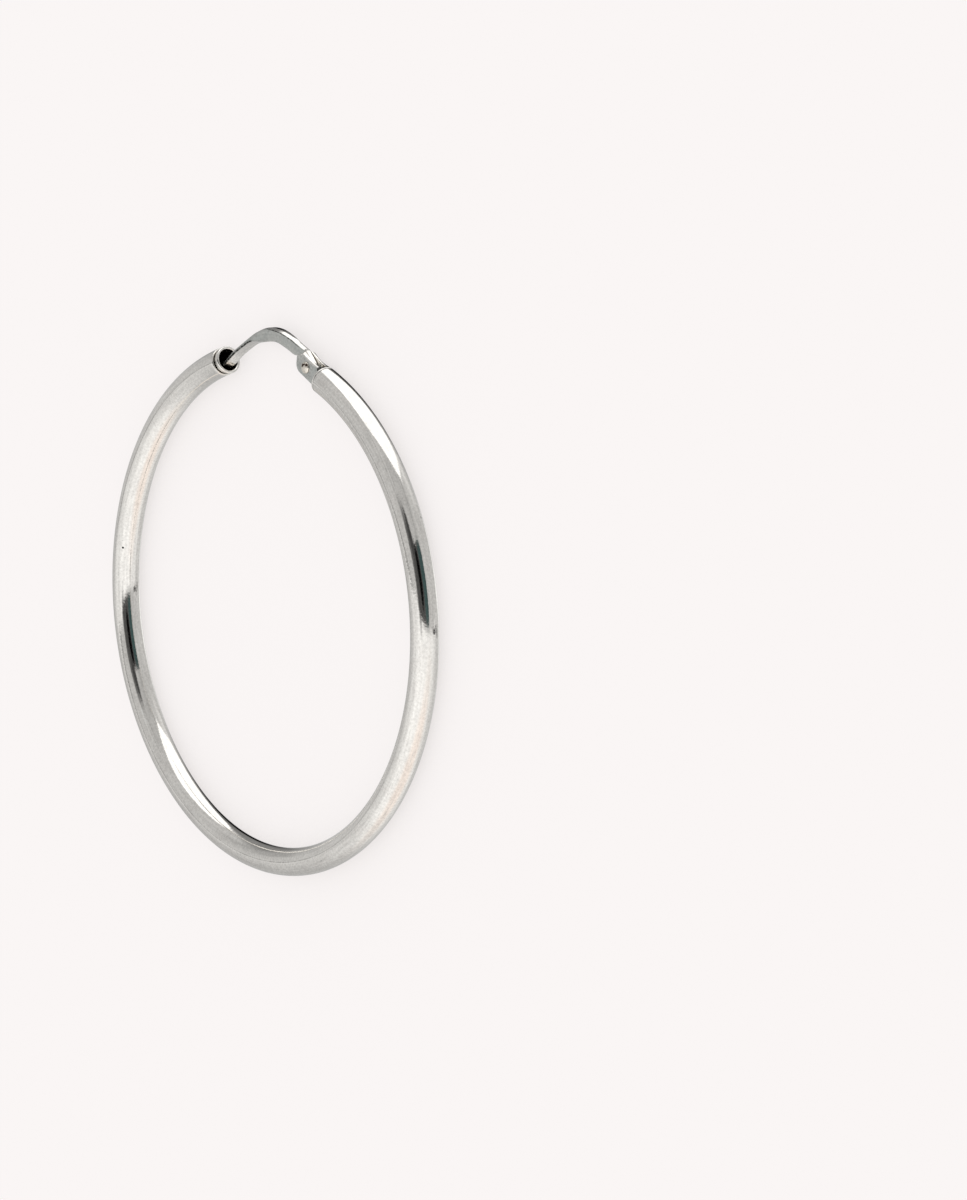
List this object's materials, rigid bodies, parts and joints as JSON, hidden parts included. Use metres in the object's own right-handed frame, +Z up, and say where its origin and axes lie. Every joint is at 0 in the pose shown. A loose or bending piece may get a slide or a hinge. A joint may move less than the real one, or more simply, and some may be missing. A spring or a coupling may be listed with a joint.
{
  "type": "hinged hoop earring",
  "caption": "Round tube hoop earring lying on its side, with an arched ear wire that turns on a rivet between fork cheeks and drops its tip into a flared mouth ring.",
  "frame": {"origin": "on the surface that the hoop lies on, under the middle of the whole outline", "axes": "+Z up, square to the hoop's plane; +Y from the middle towards the ear wire; +X towards the hinge's side"},
  "size_m": [0.0474, 0.0488, 0.0025],
  "materials": {
    "tube_silver": "polished silver with fine scratches and light tarnish",
    "ring_silver": "polished silver",
    "fork_silver": "satin silver with small dents",
    "rivet_silver": "satin silver with dark specks",
    "wire_silver": "tumbled silver"
  },
  "bodies": {
    "hoop": {"hoop_tube": "tube_silver", "mouth_ring": "ring_silver", "hinge_fork": "fork_silver", "hinge_rivet": "rivet_silver"},
    "ear_wire": {"ear_wire": "wire_silver"}
  },
  "joints": [
    {"name": "ear_wire_hinge", "type": "hinge", "parent": "hoop", "child": "ear_wire", "pos_m": [0.0058, 0.02149, 0.00123], "axis": [0, 0, -1], "range_deg": [0, 90]}
  ]
}
